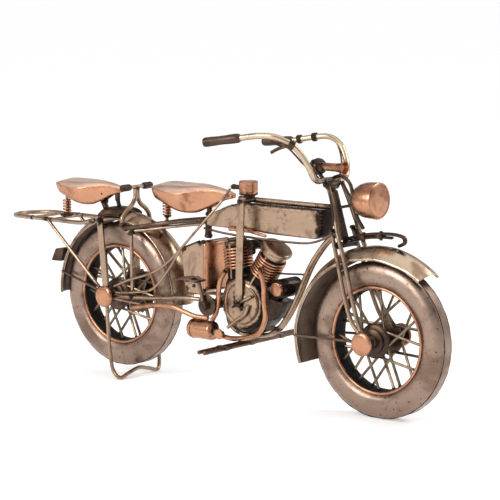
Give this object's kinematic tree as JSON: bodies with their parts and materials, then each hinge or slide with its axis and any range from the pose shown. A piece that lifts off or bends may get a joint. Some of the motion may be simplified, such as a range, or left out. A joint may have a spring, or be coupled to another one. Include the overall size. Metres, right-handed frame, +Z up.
{
  "type": "decorative metal motorcycle model",
  "caption": "Free-standing decorative model of an early V-twin motorcycle in copper and nickel sheet and wire, on a rear stand, with turning wheels, steering, stand and pedal crank.",
  "frame": {"origin": "on the ground, under the middle of the overall length and width", "axes": "+X forward, towards the front wheel; +Y to the rider's left; +Z up"},
  "size_m": [0.3079, 0.0872, 0.1483],
  "materials": {
    "copper": "satin copper with darker patina",
    "nickel": "satin antique nickel over steel, warm grey",
    "tyre_metal": "satin grey-brown steel with darker stains",
    "dark_metal": "blackened steel, weld colour"
  },
  "bodies": {
    "frame": {"top_tube": "nickel", "head_tube": "dark_metal", "down_tube_right": "nickel", "seat_rail_right": "dark_metal", "rear_frame_right": "nickel", "down_tube_left": "nickel", "seat_rail_left": "dark_metal", "rear_frame_left": "nickel", "crank_shell": "dark_metal", "seat_post": "dark_metal", "foot_bar": "dark_metal", "rear_fender": "nickel", "rear_bridge": "dark_metal", "rear_axle": "copper", "fuel_tank": "nickel", "oil_cup": "copper", "shift_lever": "nickel", "crankcase": "dark_metal", "timing_cover": "nickel", "front_cylinder": "copper", "rear_cylinder": "copper", "carburettor": "dark_metal", "magneto": "copper", "muffler": "copper", "front_exhaust": "copper", "rear_exhaust": "copper", "tail_pipe": "copper", "battery_box": "nickel", "box_front": "copper", "front_saddle": "copper", "front_saddle_spring": "copper", "rear_saddle": "copper", "rear_saddle_spring": "copper", "luggage_rack": "nickel", "passenger_bar": "nickel", "control_wires": "nickel"},
    "steering": {"steering_stem": "dark_metal", "fork_leg_right": "nickel", "fork_leg_left": "nickel", "front_axle": "copper", "handlebar": "nickel", "grip_right": "dark_metal", "grip_left": "dark_metal", "horn": "copper", "headlamp_bowl": "copper", "headlamp_lens": "copper", "lamp_bracket": "dark_metal", "front_fender": "nickel", "leaf_spring": "dark_metal"},
    "front_wheel": {"front_tyre": "tyre_metal", "front_rim": "copper", "front_hub": "nickel"},
    "rear_wheel": {"rear_tyre": "tyre_metal", "rear_rim": "copper", "rear_hub": "nickel", "rear_sprocket": "dark_metal"},
    "stand": {"rear_stand": "nickel"},
    "crank": {"pedal_crank": "nickel", "pedal_right": "dark_metal", "pedal_left": "dark_metal"}
  },
  "joints": [
    {"name": "steering_turn", "type": "hinge", "parent": "frame", "child": "steering", "pos_m": [0.0846, 0, 0.104], "axis": [-0.2924, 0, 0.9563], "range_deg": [-30, 30]},
    {"name": "front_wheel_spin", "type": "hinge", "parent": "steering", "child": "front_wheel", "pos_m": [0.1126, 0, 0.0413], "axis": [0, 1, 0], "continuous": true},
    {"name": "rear_wheel_spin", "type": "hinge", "parent": "frame", "child": "rear_wheel", "pos_m": [-0.0688, 0, 0.0472], "axis": [0, 1, 0], "continuous": true},
    {"name": "stand_fold", "type": "hinge", "parent": "frame", "child": "stand", "pos_m": [-0.0688, 0, 0.0472], "axis": [0, 1, 0], "range_deg": [0, 88]},
    {"name": "pedal_crank_turn", "type": "hinge", "parent": "frame", "child": "crank", "pos_m": [0.0075, 0, 0.0503], "axis": [0, 1, 0], "continuous": true}
  ]
}
